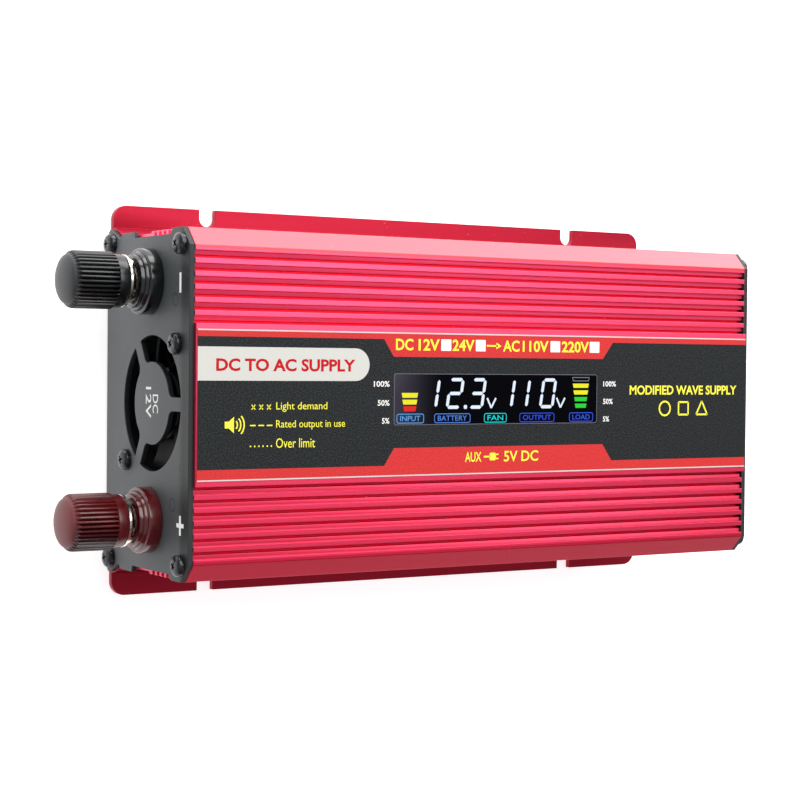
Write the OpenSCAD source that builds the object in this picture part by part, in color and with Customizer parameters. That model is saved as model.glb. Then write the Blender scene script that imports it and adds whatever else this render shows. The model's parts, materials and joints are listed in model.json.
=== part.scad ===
// Portable DC to AC power inverter in a finned aluminium extrusion.
// X runs along the case from the DC end to the AC end, Z is up, Z = 0 is the mounting plane.

/* [Case] */
// Length of the extruded shell
case_len = 189; // [150:1:240]
// Width over the side walls
case_w = 93.2; // [92:0.2:120]
// Height from the mounting plane to the rib tops
case_h = 55.4; // [55:0.1:80]
// Reach of the mounting flanges beyond the side walls
flange_reach = 8.9; // [7.5:0.1:12]
// Thickness of the mounting flanges
flange_t = 2; // [1.5:0.1:2.5]
// Corner radius of the flanges
flange_r = 4; // [1:0.5:6]
// Thickness of the side walls
wall_t = 2.6; // [2.2:0.1:3]
// Thickness of the roof under the grooves
roof_t = 2; // [1.5:0.1:2.2]
// Width of the chamfer along the side edges of the roof
chamfer_w = 4.8; // [2:0.1:6]
// Height of the same chamfer
chamfer_h = 4.5; // [2:0.1:6]
// Width of the foot where a wall meets its flange
foot_w = 2.4; // [1:0.1:4]

/* [Ribs] */
// Depth of the roof grooves
groove_d = 0.9; // [0.4:0.1:1.2]
// Width of each roof groove
groove_w = 2; // [1:0.1:2.4]
// Distance from one roof groove to the next
groove_pitch = 3.4; // [3:0.1:4]
// Grooves on each side of the label
groove_n = 6; // [2:1:6]
// Width of the crease along the label side of each roof groove
crease_w = 0.8; // [0.3:0.1:0.8]
// Depth of the crease below the groove floor
crease_d = 1.1; // [0.2:0.1:1.2]
// Height of the label plateau above the rib tops
plateau_h = 0.9; // [0.3:0.1:1.5]
// Grooves in the upper part of each side wall
side_groove_n = 4; // [1:1:4]
// Distance from one side groove to the next
side_pitch = 3; // [2.5:0.1:3.5]

/* [Mounting slots] */
// Width of the open slots in the flanges
slot_w = 5; // [4:0.1:6]
// Depth of the slots from the flange edge
slot_d = 5; // [3.5:0.1:6]
// Distance from a shell end to the nearest slot centre
slot_inset = 29.3; // [20:0.1:60]

/* [End plates] */
// Thickness of the end plates
plate_t = 1.5; // [1:0.1:2]
// Radius of the end plate screw heads
head_r = 2.9; // [2.5:0.1:3]
// Height of the screw heads
head_h = 2.2; // [1.6:0.1:2.6]

/* [Binding posts] */
// Distance between the two posts
post_gap = 64.4; // [62:0.2:66]
// Sideways offset of both posts
post_shift = 0.6; // [0:0.1:1]
// Height of the post axes
post_z = 30.6; // [28:0.1:34]
// Radius of the knob barrels
knob_r = 7.7; // [7.2:0.1:8.5]
// Length of the fluted part of a knob
flute_len = 12.6; // [8:0.1:16]
// Radius of the large collar on the plate
collar_r = 9; // [8.5:0.1:9.5]
// Length of the large collar
collar_len = 3.9; // [3:0.1:6]
// Radius of the threaded studs
stud_r = 3; // [2.5:0.1:3.2]
// Open gap between knob and base at rest
post_open = 1.3; // [1.3:0.1:3]

/* [Fan] */
// Side of the square fan
fan_size = 40; // [32:0.5:41]
// Depth of the fan
fan_depth = 10; // [10:0.5:12]
// Height of the fan axis
fan_z = 31.9; // [31:0.1:32]
// Distance from the sides of the fan to its screw axes
fan_inset = 4; // [3.8:0.1:4.2]
// Thinnest wall round the air duct of the fan
duct_wall = 1.2; // [0.8:0.1:1.6]
// Step from the air duct in to the edge of the grille
grille_step = 0.4; // [0.2:0.1:1]
// Radius of the printed disc in the grille
grille_disc_r = 11.2; // [8:0.1:13]
// Radius of the corners where the disc meets its spokes
grille_fillet = 2.5; // [0.5:0.1:3]
// Width of the grille spokes
grille_spoke_w = 3.7; // [2:0.1:5]

/* [Label and display] */
// Width of the label sheet
label_w = 39.8; // [36:0.2:42]
// Thickness of the label sheet
label_t = 0.3; // [0.2:0.05:0.5]
// Length of the display window
window_len = 70.8; // [50:0.2:90]
// Width of the display window
window_w = 14.6; // [12:0.2:24]
// Lengthways offset of the display window
window_x = 0.9; // [0:0.1:2]
// Sideways offset of the display window
window_y = 1.4; // [0:0.1:3]
// Thickness of the display window
window_t = 0.8; // [0.6:0.1:1.2]

/* [AC end] */
// Side of the square AC socket face
socket_size = 40; // [32:0.5:41]
// Reach of the socket face beyond the socket body behind it
socket_rim = 3; // [2:0.1:4]
// Sideways place of the AC socket
socket_y = 16; // [16:0.5:18]
// Height of the AC socket, switch and USB port centres
socket_z = 29; // [28:0.1:31]
// Sideways place of the rocker switch
switch_y = -18; // [-19:0.5:-17]
// Sideways place of the USB port
usb_y = -36; // [-36.5:0.1:-35.5]

/* [Electronics] */
// Distance from each end of the main circuit board to the end of the shell
board_end = 14.5; // [12:0.5:16]
// Distance from each side of the main circuit board to the outside of the shell
board_side = 6.6; // [6:0.1:9]
// Height of the underside of the main board
board_z = 7; // [6.5:0.1:8]
// Thickness of every circuit board
board_t = 1.6; // [1:0.1:2]
// Side clearance of sliding and close fits
fit = 0.1; // [0.05:0.01:0.15]

/* [Hidden] */
$fn = 64;
eps = 0.01;

// Case
x_dc = -case_len / 2;
x_ac = case_len / 2;
half_w = case_w / 2;
flange_y = half_w + flange_reach;
in_y = half_w - wall_t;
floor_z = case_h - groove_d;
roof_z = floor_z - roof_t;
top_z = case_h + plateau_h;
face_half = half_w - chamfer_w;
edge_rib = 1.4;
plateau_half = face_half - edge_rib - (groove_n - 1) * groove_pitch - groove_w;
foot_h = 8;
side_step = 0.6;
side_groove_w = 1.5;
side_groove_d = 1.4;
side_groove_z = case_h - 25.6;

// Bottom plate in its grooves
lip_t = 0.6;
bottom_t = 1.4;
bottom_bite = 0.9;
stand_z0 = lip_t + fit / 2 + bottom_t;

// Screws and their channels
screw_r = 1.3;
tap_r = 1.35;
channel_r = 2.9;
screw_len = 9;
low_screw_y = half_w - 2.5;
low_screw_z = 5;
high_screw_y = half_w - 4.4;
high_screw_z = case_h - 4.8;

// End plate outline
plate_z0 = 1.5;
plate_edge = half_w - 1.5;
plate_top = case_h - 0.3;

// Binding posts, outwards from the plate face
xp = x_dc - plate_t;
ring_r = 7.2;
ring_len = 2;
base_face = xp - collar_len - ring_len;
lug_h = 0.9;
washer_t = 0.7;
washer_gap = 0.3;
washer_in = base_face - post_open + 0.1;
washer_out = washer_in - lug_h - washer_t;
neck_r = stud_r + 1;
knob_face = washer_out - washer_gap;
smooth_len = 3;
dome_h = 1.6;
knob_end = knob_face - smooth_len - flute_len;
flute_n = 38;
flute_r = 0.42;
stud_out = knob_end + 3.6;
run_fit = 0.05;
spigot_r = 4.5;
insulator_t = 2.5;
lug_plate_t = 1.2;
nut_t = 3.2;
nut_r = 5.6;
nut_gap = 0.1;
cable_r = 2.2;

// Fan
x_fan = x_dc + fan_depth;
fan_hole = fan_size / 2 - fan_inset;
duct_r = fan_size / 2 - duct_wall;
grille_r = duct_r - grille_step;
hub_r = 10;
shaft_r = 1;
fan_screw_r = 1.45;
fan_hole_r = 1.6;

// Boards
board_len = case_len - 2 * board_end;
board_w = case_w - 2 * board_side;
board_top = board_z + board_t;
stand_x = board_len / 2 - 14;
stand_y = board_w / 2 - 8;
stand_hole_r = 1.4;

// AC end
xa = x_ac + plate_t;
socket_body = socket_size - 2 * socket_rim;
socket_deep = 22;
socket_face_t = 2.6;
pin_w = 2.2;
pin_h = 8;
usb_w = 13.2;
usb_h = 5.8;
usb_len = 14;
usb_out = 0.6;
switch_w = 15;
switch_h = 21;
switch_rim = 1.8;
switch_cut_w = 13;
switch_cut_h = 19;
switch_deep = 14;
rocker_w = 9.4;
pivot_r = 1.5;
led_r = 1.5;
led_z = 44.5;

// Extrudes a flat outline drawn in Y and Z from x0 along +X.
module along_x(x0, len) {
    translate([x0, 0, 0]) rotate([90, 0, 90]) linear_extrude(len) children();
}

// Round bar along +X.
module bar_x(x0, y, z, r, len) {
    translate([x0, y, z]) rotate([0, 90, 0]) cylinder(h = len, r = r);
}

// Block centred on y and z that starts at x0.
module block(x0, y, z, sx, sy, sz) {
    translate([x0, y - sy / 2, z - sz / 2]) cube([sx, sy, sz]);
}

// Both halves of something symmetric about the middle plane.
module both_sides() {
    for (side = [0, 1]) mirror([0, side, 0]) children();
}

// ---- Case ----

module shell_half() {
    difference() {
        union() {
            polygon([[0, roof_z], [in_y, roof_z], [in_y, 0], [half_w, 0], [half_w, flange_t + foot_h],
                [half_w - side_step, flange_t + foot_h], [half_w - side_step, side_groove_z - 2],
                [half_w, side_groove_z - 2], [half_w, case_h - chamfer_h], [face_half, case_h],
                [plateau_half, case_h], [plateau_half, top_z], [0, top_z]]);
            polygon([[in_y, 0], [flange_y, 0], [flange_y, flange_t],
                [half_w + foot_w, flange_t], [half_w + foot_w - 0.6, flange_t + 2.6],
                [half_w - side_step, flange_t + foot_h], [in_y, flange_t + foot_h]]);
            translate([low_screw_y, low_screw_z]) circle(r = channel_r);
            translate([high_screw_y, high_screw_z]) circle(r = channel_r);
        }
        for (i = [0 : groove_n - 1])
            translate([face_half - edge_rib - groove_w - i * groove_pitch, floor_z]) {
                square([groove_w, groove_d + 1]);
                translate([0, -crease_d]) square([crease_w, crease_d + 1]);
            }
        for (i = [0 : side_groove_n - 1])
            translate([half_w - side_groove_d, side_groove_z + i * side_pitch])
                square([side_groove_d + 1, side_groove_w]);
        translate([in_y - 3, lip_t]) square([3 + bottom_bite + fit, bottom_t + fit]);
        translate([low_screw_y, low_screw_z]) circle(r = tap_r);
        translate([high_screw_y, high_screw_z]) circle(r = tap_r);
    }
}

module slot_cut() {
    translate([0, flange_y - slot_d + slot_w / 2, -1]) {
        cylinder(h = flange_t + 2, d = slot_w);
        translate([-slot_w / 2, 0, 0]) cube([slot_w, slot_d, flange_t + 2]);
    }
}

module corner_cut() {
    translate([x_ac - flange_r, flange_y - flange_r, -1]) difference() {
        cube([flange_r + 1, flange_r + 1, flange_t + 2]);
        translate([0, 0, -1]) cylinder(h = flange_t + 4, r = flange_r);
    }
}

module top_shell() {
    color([0.86, 0.2, 0.3]) difference() {
        along_x(x_dc, case_len) both_sides_flat() shell_half();
        both_sides() for (end = [0, 1]) mirror([end, 0, 0]) {
            translate([x_ac - slot_inset, 0, 0]) slot_cut();
            corner_cut();
        }
        translate([window_x, window_y, roof_z - 1]) linear_extrude(top_z)
            square([window_len + 2 * fit, window_w + 2 * fit], center = true);
    }
}

module both_sides_flat() {
    for (side = [0, 1]) mirror([side, 0]) children();
}

module both_sides_flat_y() {
    for (side = [0, 1]) mirror([0, side]) children();
}

module bottom_plate() {
    color([0.8, 0.18, 0.26]) difference() {
        union() {
            translate([x_dc, fit - in_y, 0]) cube([case_len, 2 * (in_y - fit), stand_z0]);
            translate([x_dc, -in_y - bottom_bite, lip_t + fit / 2])
                cube([case_len, 2 * (in_y + bottom_bite), bottom_t]);
        }
        for (x = [-stand_x, stand_x], y = [-stand_y, stand_y])
            translate([x, y, -1]) cylinder(h = 4, r = stand_hole_r);
    }
}

module plate_half() {
    polygon([[0, plate_z0], [half_w + 0.2, plate_z0], [half_w + 1.6, plate_z0 + 1.4],
        [half_w + 1.6, plate_z0 + 2.8], [plate_edge + 0.3, plate_z0 + 8], [plate_edge + 0.6, plate_z0 + 9],
        [half_w + 0.2, plate_z0 + 10.4], [half_w + 0.2, plate_z0 + 17.6], [plate_edge, plate_z0 + 18],
        [plate_edge, plate_z0 + 41.5], [half_w, plate_z0 + 43.2], [half_w, case_h - chamfer_h - 0.2],
        [face_half, plate_top], [0, plate_top]]);
}

module end_plate_flat() {
    difference() {
        both_sides_flat() plate_half();
        both_sides_flat() {
            translate([low_screw_y, low_screw_z]) circle(r = screw_r + fit);
            translate([high_screw_y, high_screw_z]) circle(r = screw_r + fit);
        }
    }
}

module grille_cut() {
    difference() {
        circle(r = grille_r);
        circle(r = grille_disc_r);
        for (a = [90, 210, 330]) rotate(a) {
            translate([0, -grille_spoke_w / 2]) square([grille_r + 1, grille_spoke_w]);
            both_sides_flat_y() spoke_fillet();
        }
    }
}

// Round inner corner between the disc and one side of a spoke along X.
module spoke_fillet() {
    out = grille_spoke_w / 2 + grille_fillet;
    along = sqrt(pow(grille_disc_r + grille_fillet, 2) - pow(out, 2));
    difference() {
        polygon([[0, 0], [along, 0], [along, out]]);
        translate([along, out]) circle(r = grille_fillet);
    }
}

module dc_end_plate() {
    color([0.38, 0.39, 0.4]) along_x(xp, plate_t) difference() {
        end_plate_flat();
        translate([0, fan_z]) {
            grille_cut();
            for (s = [-1, 1]) translate([s * fan_hole, s * fan_hole]) circle(r = fan_hole_r);
        }
        for (s = [-1, 1]) translate([post_shift + s * post_gap / 2, post_z]) circle(r = spigot_r + fit);
    }
}

module ac_end_plate() {
    color([0.15, 0.15, 0.16]) along_x(x_ac, plate_t) difference() {
        end_plate_flat();
        translate([socket_y, socket_z]) square(socket_body + 2 * fit, center = true);
        translate([switch_y, socket_z]) square([switch_cut_w + 2 * fit, switch_cut_h + 2 * fit], center = true);
        translate([usb_y, socket_z]) square([usb_w + 2 * fit, usb_h + 2 * fit], center = true);
        for (y = [usb_y - 4, usb_y + 4]) translate([y, led_z]) circle(r = led_r + fit);
        for (i = [0 : 8]) translate([-30 + i * 7.5, 7]) {
            translate([-1.1, 0]) square([2.2, 3]);
            circle(r = 1.1);
        }
    }
}

module end_screw(y, z, out) {
    x0 = out < 0 ? xp : xa;
    translate([x0, y, z]) rotate([0, 90 * out, 0]) {
        rotate_extrude() polygon([[0, 0], [head_r, 0], [head_r, head_h * 0.45],
            [head_r * 0.86, head_h * 0.8], [head_r * 0.5, head_h], [0, head_h]]);
        translate([0, 0, -screw_len]) cylinder(h = screw_len, r = screw_r);
    }
}

module end_screws(out) {
    both_sides() {
        end_screw(low_screw_y, low_screw_z, out);
        end_screw(high_screw_y, high_screw_z, out);
    }
}

module dc_end_screws() { color([0.12, 0.12, 0.13]) end_screws(-1); }
module ac_end_screws() { color([0.12, 0.12, 0.13]) end_screws(1); }

// ---- Label and display ----

module label_sheet() {
    color([0.82, 0.22, 0.24]) translate([0, 0, top_z]) linear_extrude(label_t) difference() {
        square([case_len - 0.6, label_w], center = true);
        translate([window_x, window_y]) square([window_len + 2 * fit, window_w + 2 * fit], center = true);
    }
}

display_z = roof_z - fit;
module_t = top_z + label_t - window_t - display_z;

module display_window() {
    color([0.12, 0.12, 0.18]) translate([window_x, window_y, top_z + label_t - window_t])
        linear_extrude(window_t) square([window_len, window_w], center = true);
}

module display_module() {
    color([0.2, 0.25, 0.35]) translate([window_x, window_y, display_z])
        linear_extrude(module_t) square([window_len, window_w], center = true);
}

module display_board() {
    color([0.1, 0.4, 0.2]) translate([window_x, window_y, display_z - board_t])
        linear_extrude(board_t) square([window_len + 6, window_w + 8], center = true);
}

ribbon_x = window_x + window_len / 2 - 4;
module display_ribbon() {
    color([0.75, 0.75, 0.72]) translate([ribbon_x, window_y - 10.8, board_top])
        cube([0.6, 10, display_z - board_t - board_top]);
}

// ---- Binding posts ----

module post_base() {
    translate([xp, 0, post_z]) rotate([0, -90, 0]) rotate_extrude()
        polygon([[stud_r + run_fit, -plate_t], [spigot_r, -plate_t], [spigot_r, 0], [collar_r, 0],
            [collar_r, collar_len - 0.4], [collar_r - 0.4, collar_len], [ring_r + 0.8, collar_len],
            [ring_r + 0.8, collar_len + 0.9], [ring_r, collar_len + 1.1], [ring_r, collar_len + ring_len - 0.3],
            [ring_r - 0.3, collar_len + ring_len], [stud_r + run_fit, collar_len + ring_len]]);
}

module post_stud() {
    len = x_dc + insulator_t + lug_plate_t + nut_gap + nut_t + 2 - stud_out;
    translate([stud_out, 0, post_z]) rotate([0, 90, 0]) {
        translate([0, 0, 0.5]) cylinder(h = len - 0.5, r = stud_r);
        cylinder(h = 0.5, r1 = stud_r - 0.5, r2 = stud_r);
    }
}

// Brass crown washer, held loosely on the knob's neck, with four lugs towards the base.
module post_washer() {
    translate([washer_out, 0, post_z]) rotate([0, 90, 0]) {
        difference() {
            cylinder(h = washer_t, r = knob_r - 0.6);
            translate([0, 0, -1]) cylinder(h = washer_t + 2, r = neck_r + run_fit);
        }
        intersection() {
            difference() {
                cylinder(h = washer_t + lug_h, r = knob_r - 0.6);
                translate([0, 0, -1]) cylinder(h = washer_t + lug_h + 2, r = knob_r - 1.5);
            }
            for (a = [20 : 90 : 290]) rotate(a) translate([0, -1, 0]) cube([knob_r, 2, washer_t + lug_h]);
        }
    }
}

module post_knob() {
    translate([knob_face, 0, post_z]) rotate([0, -90, 0]) difference() {
        union() {
            difference() {
                union() {
                    cylinder(h = smooth_len, r = knob_r - 0.5);
                    translate([0, 0, smooth_len]) cylinder(h = flute_len - 1, r = knob_r);
                }
                for (i = [0 : flute_n - 1]) rotate(i * 360 / flute_n)
                    translate([knob_r, 0, smooth_len - 1]) cylinder(h = flute_len + 2, r = flute_r, $fn = 16);
            }
            translate([0, 0, smooth_len + flute_len - 1]) rotate_extrude()
                polygon(concat([[0, 0], [knob_r - 0.3, 0], [knob_r - 0.5, 0.6]],
                    [for (a = [0 : 10 : 90]) [(knob_r - 1.1) * cos(a), 1 + dome_h * sin(a)]]));
            translate([0, 0, -washer_gap - washer_t - 0.3]) cylinder(h = 1.4, r = neck_r);
            translate([0, 0, -washer_gap - washer_t - 0.6]) cylinder(h = 0.3, r = neck_r + 0.5);
        }
        translate([0, 0, -3]) cylinder(h = 3 + smooth_len + flute_len - 1.4, r = stud_r + run_fit);
    }
}

module post_insulator() {
    translate([x_dc, 0, post_z]) rotate([0, 90, 0]) difference() {
        cylinder(h = insulator_t, r = 7);
        translate([0, 0, -1]) cylinder(h = insulator_t + 2, r = stud_r + run_fit);
    }
}

lug_x = x_dc + insulator_t;
crimp_drop = 10;
crimp_len = 7;
module post_terminal() {
    translate([lug_x, 0, post_z]) rotate([0, 90, 0]) difference() {
        union() {
            cylinder(h = lug_plate_t, r = 6);
            translate([0, -2.5, 0]) cube([crimp_drop + 2, 5, lug_plate_t]);
        }
        translate([0, 0, -1]) cylinder(h = 4, r = stud_r + run_fit);
    }
    bar_x(lug_x + lug_plate_t - eps, 0, post_z - crimp_drop, 2.7, crimp_len);
}

nut_x = lug_x + lug_plate_t + nut_gap;
module post_nut() {
    translate([nut_x, 0, post_z]) rotate([0, 90, 0]) difference() {
        cylinder(h = nut_t, r = nut_r, $fn = 6);
        translate([0, 0, -1]) cylinder(h = nut_t + 2, r = stud_r + run_fit);
    }
}

cable_x = lug_x + lug_plate_t + crimp_len;
cable_z = post_z - crimp_drop;
bend_r = 6;
module post_cable() {
    straight = 4;
    bar_x(cable_x - eps, 0, cable_z, cable_r, straight + eps);
    translate([cable_x + straight, 0, cable_z - bend_r]) rotate([90, 0, 0])
        rotate_extrude(angle = 90) translate([bend_r, 0]) circle(r = cable_r, $fn = 32);
    translate([cable_x + straight + bend_r, 0, board_top])
        cylinder(h = cable_z - bend_r - board_top, r = cable_r);
}

module at_negative() { translate([0, post_shift + post_gap / 2, 0]) children(); }
module at_positive() { translate([0, post_shift - post_gap / 2, 0]) children(); }

module negative_base() { color([0.08, 0.08, 0.09]) at_negative() post_base(); }
module negative_stud() { color([0.75, 0.7, 0.55]) at_negative() post_stud(); }
module negative_washer() { color([0.85, 0.8, 0.65]) at_negative() post_washer(); }
module negative_knob() { color([0.1, 0.1, 0.11]) at_negative() post_knob(); }
module negative_insulator() { color([0.08, 0.08, 0.09]) at_negative() post_insulator(); }
module negative_nut() { color([0.75, 0.75, 0.75]) at_negative() post_nut(); }
module negative_terminal() { color([0.75, 0.72, 0.65]) at_negative() post_terminal(); }
module negative_cable() { color([0.05, 0.05, 0.05]) at_negative() post_cable(); }
module positive_base() { color([0.3, 0.08, 0.1]) at_positive() post_base(); }
module positive_stud() { color([0.75, 0.7, 0.55]) at_positive() post_stud(); }
module positive_washer() { color([0.85, 0.8, 0.65]) at_positive() post_washer(); }
module positive_knob() { color([0.35, 0.1, 0.12]) at_positive() post_knob(); }
module positive_insulator() { color([0.3, 0.08, 0.1]) at_positive() post_insulator(); }
module positive_nut() { color([0.75, 0.75, 0.75]) at_positive() post_nut(); }
module positive_terminal() { color([0.75, 0.72, 0.65]) at_positive() post_terminal(); }
module positive_cable() { color([0.6, 0.05, 0.05]) at_positive() post_cable(); }

// ---- Fan ----

strut_t = 1.2;
boss_r = 8;
bearing_r = 2.5;
module fan_frame() {
    color([0.1, 0.1, 0.1]) {
        along_x(x_dc, fan_depth) translate([0, fan_z]) difference() {
            square(fan_size, center = true);
            circle(r = duct_r);
            for (y = [-1, 1], z = [-1, 1]) translate([y * fan_hole, z * fan_hole]) circle(r = fan_hole_r);
        }
        along_x(x_fan - strut_t, strut_t) translate([0, fan_z]) difference() {
            union() {
                circle(r = boss_r);
                for (a = [45 : 90 : 315]) rotate(a) translate([boss_r - 1, -1]) square([duct_r - boss_r + 1.4, 2]);
            }
            circle(r = bearing_r + 0.02);
        }
    }
}

blade_n = 7;
hub_x = x_dc + 1.5;
hub_len = 5.6;
module fan_rotor() {
    color([0.14, 0.14, 0.14]) translate([hub_x, 0, fan_z]) rotate([0, 90, 0]) {
        difference() {
            cylinder(h = hub_len, r = hub_r);
            translate([0, 0, 1]) cylinder(h = hub_len, r = hub_r - 0.8);
        }
        cylinder(h = hub_len + 1, r = shaft_r);
        for (i = [0 : blade_n - 1]) rotate(i * 360 / blade_n) translate([hub_r - 0.5, 0, hub_len / 2])
            rotate([36, 0, 0]) translate([0, -3.6, -0.4]) cube([duct_r - hub_r - 0.3, 7.2, 0.8]);
    }
}

module fan_stator() {
    color([0.6, 0.35, 0.15]) translate([x_fan - strut_t - 4.4, 0, fan_z]) rotate([0, 90, 0]) difference() {
        union() {
            cylinder(h = 4.4, r = 3.6);
            for (a = [0 : 90 : 270]) rotate(a) translate([0, -2.2, 0.4]) cube([8.4, 4.4, 2.6]);
        }
        translate([0, 0, -1]) cylinder(h = 7, r = bearing_r + 0.02);
    }
}

module fan_bearing() {
    color([0.7, 0.6, 0.35]) translate([x_fan - strut_t - 4.4, 0, fan_z]) rotate([0, 90, 0]) difference() {
        cylinder(h = 4.4 + strut_t, r = bearing_r);
        translate([0, 0, -1]) cylinder(h = 8, r = shaft_r + run_fit);
    }
}

module fan_screws() {
    color([0.12, 0.12, 0.13]) for (s = [-1, 1]) translate([xp, s * fan_hole, fan_z + s * fan_hole])
        rotate([0, -90, 0]) {
            rotate_extrude() polygon([[0, 0], [head_r, 0], [head_r, head_h * 0.45],
                [head_r * 0.86, head_h * 0.8], [head_r * 0.5, head_h], [0, head_h]]);
            translate([0, 0, -plate_t - fan_depth - 3.2]) cylinder(h = plate_t + fan_depth + 3.2, r = fan_screw_r);
        }
}

module fan_nuts() {
    color([0.75, 0.75, 0.75]) for (s = [-1, 1]) translate([x_fan, s * fan_hole, fan_z + s * fan_hole])
        rotate([0, 90, 0]) difference() {
            cylinder(h = 2.3, r = 3.1, $fn = 6);
            translate([0, 0, -1]) cylinder(h = 5, r = fan_screw_r + run_fit);
        }
}

lead_y = 6;
module fan_lead() {
    color([0.9, 0.75, 0.1]) for (s = [0, 1]) {
        y = lead_y + s * 2;
        z0 = fan_z - fan_size / 2 + 2;
        bar_x(x_fan, y, z0, 0.6, 3.5);
        translate([x_fan + 3.5, y, z0]) sphere(r = 0.6, $fn = 24);
        translate([x_fan + 3.5, y, board_top]) cylinder(h = z0 - board_top, r = 0.6);
    }
}

// ---- AC end ----

module pin_holes(grow = 0) {
    for (s = [-1, 1]) translate([s * 6.4, 3]) {
        square([pin_w + grow, pin_h + grow], center = true);
        circle(r = 2.5 + grow / 2);
    }
    translate([0, -7.5]) {
        circle(r = 2.6 + grow / 2);
        square([6.2 + grow, pin_w + grow], center = true);
    }
}

module ac_socket_face() {
    color([0.12, 0.12, 0.13]) difference() {
        translate([0, socket_y, socket_z]) union() {
            along_x(xa, socket_face_t - 0.8) square(socket_size, center = true);
            along_x(xa + socket_face_t - 0.8 - eps, 0.8 + eps) square(socket_size - 2, center = true);
        }
        along_x(xa - 1, socket_face_t + 2) translate([socket_y, socket_z]) pin_holes();
    }
}

module ac_socket_body() {
    color([0.9, 0.9, 0.88]) difference() {
        block(xa - socket_deep, socket_y, socket_z, socket_deep, socket_body, socket_body);
        along_x(xa - socket_deep + 2, socket_deep) translate([socket_y, socket_z]) {
            for (s = [-1, 1]) translate([s * 6.4, 3]) square([7.2, 10.2], center = true);
            translate([0, -7.5]) square([8.4, 7.4], center = true);
        }
        for (y = [-6.4, 0, 6.4]) bar_x(xa - socket_deep - 1, socket_y + y, socket_z + (y == 0 ? -7.5 : 3), 1.1, 4);
    }
}

module contact_pair(y, z, w, h) {
    x0 = xa - socket_deep + 2;
    for (s = [-1, 1]) block(x0, y + s * (w / 2 - 0.5), z, 14, 0.6, h);
    block(x0, y, z, 0.6, w - 1, h);
    bar_x(x0 - 5, y, z, 1, 5 + 0.3);
}

module ac_contacts() {
    color([0.8, 0.65, 0.3]) {
        for (s = [-1, 1]) contact_pair(socket_y + s * 6.4, socket_z + 3, 7, 8);
        contact_pair(socket_y, socket_z - 7.5, 8, 5.4);
    }
}

lead_gap = 3;
module ac_leads() {
    color([0.15, 0.25, 0.6]) for (s = [-1, 1]) {
        y = socket_y + s * 6.4;
        z = socket_z + 3;
        x = xa - socket_deep - lead_gap - 2;
        bar_x(x, y, z, 0.9, 2);
        translate([x, y, z]) sphere(r = 0.9, $fn = 24);
        translate([x, y, board_top]) cylinder(h = z - board_top, r = 0.9);
    }
}

module usb_shell() {
    color([0.8, 0.8, 0.8]) difference() {
        block(xa + usb_out - usb_len, usb_y, socket_z, usb_len, usb_w, usb_h);
        block(xa + usb_out - usb_len - 1, usb_y, socket_z, usb_len + 2, usb_w - 0.7, usb_h - 0.7);
    }
}

module usb_tongue() {
    color([0.95, 0.95, 0.92]) {
        block(xa + usb_out - usb_len, usb_y, socket_z, 3.6, usb_w - 0.9, usb_h - 0.9);
        block(xa + usb_out - usb_len + 3.6 - eps, usb_y, socket_z + 1, usb_len - 5, usb_w - 2.4, 1.7);
    }
}

module usb_board() {
    color([0.1, 0.35, 0.2]) translate([xa + usb_out - usb_len, usb_y - usb_w / 2, socket_z - usb_h / 2 - board_t])
        cube([usb_len - plate_t - usb_out - 1, usb_w, board_t]);
}

rocker_x = xa - 2.5;
module switch_frame() {
    color([0.1, 0.1, 0.1]) difference() {
        union() {
            block(xa, switch_y, socket_z, switch_rim, switch_w, switch_h);
            block(xa - switch_deep, switch_y, socket_z, switch_deep + eps, switch_cut_w, switch_cut_h);
        }
        block(xa - switch_deep + 2, switch_y, socket_z, switch_deep + 4, rocker_w + 0.8, switch_cut_h - 2.4);
        translate([rocker_x, switch_y - switch_cut_w, socket_z]) rotate([-90, 0, 0])
            cylinder(h = 2 * switch_cut_w, r = pivot_r + run_fit);
    }
}

module switch_rocker() {
    half = switch_cut_h / 2 - 2;
    color([0.7, 0.1, 0.1]) {
        translate([rocker_x, switch_y + rocker_w / 2, socket_z]) rotate([90, 0, 0]) linear_extrude(rocker_w)
            polygon([[-1.6, -3], [-1.6, 3], [1.9, half], [4.6, half - 0.4], [3.6, 0],
                [2.4, -half + 0.6], [-0.5, -half + 0.8]]);
        translate([rocker_x, switch_y - switch_cut_w / 2, socket_z]) rotate([-90, 0, 0])
            cylinder(h = switch_cut_w, r = pivot_r);
    }
}

module switch_tabs() {
    color([0.8, 0.78, 0.7]) for (z = [-6, 0]) block(xa - switch_deep - 7, switch_y, socket_z + z, 7, 4.8, 0.8);
}

module led(y) {
    bar_x(x_ac - 3, y, led_z, led_r, 3 + plate_t + 0.6);
    translate([xa + 0.6, y, led_z]) sphere(r = led_r, $fn = 32);
    bar_x(x_ac - 4, y, led_z, led_r + 0.35, 1);
}

module power_led() { color([0.2, 0.8, 0.3]) led(usb_y - 4); }
module fault_led() { color([0.9, 0.15, 0.15]) led(usb_y + 4); }

// ---- Electronics ----

module main_board() {
    color([0.08, 0.35, 0.18]) difference() {
        translate([-board_len / 2, -board_w / 2, board_z]) cube([board_len, board_w, board_t]);
        for (x = [-stand_x, stand_x], y = [-stand_y, stand_y])
            translate([x, y, 0]) cylinder(h = board_z + 4, r = stand_hole_r + fit);
    }
}

module board_standoffs() {
    color([0.8, 0.7, 0.4]) for (x = [-stand_x, stand_x], y = [-stand_y, stand_y]) translate([x, y, 0])
        difference() {
            translate([0, 0, stand_z0]) cylinder(h = board_z - stand_z0, r = 2.8, $fn = 6);
            cylinder(h = board_z + 1, r = stand_hole_r);
        }
}

module board_screws() {
    color([0.7, 0.7, 0.7]) for (x = [-stand_x, stand_x], y = [-stand_y, stand_y]) translate([x, y, 0]) {
        translate([0, 0, board_z - 3]) cylinder(h = board_t + 3, r = stand_hole_r - run_fit);
        translate([0, 0, board_top]) cylinder(h = 1.6, r = 2.6);
    }
}

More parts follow.
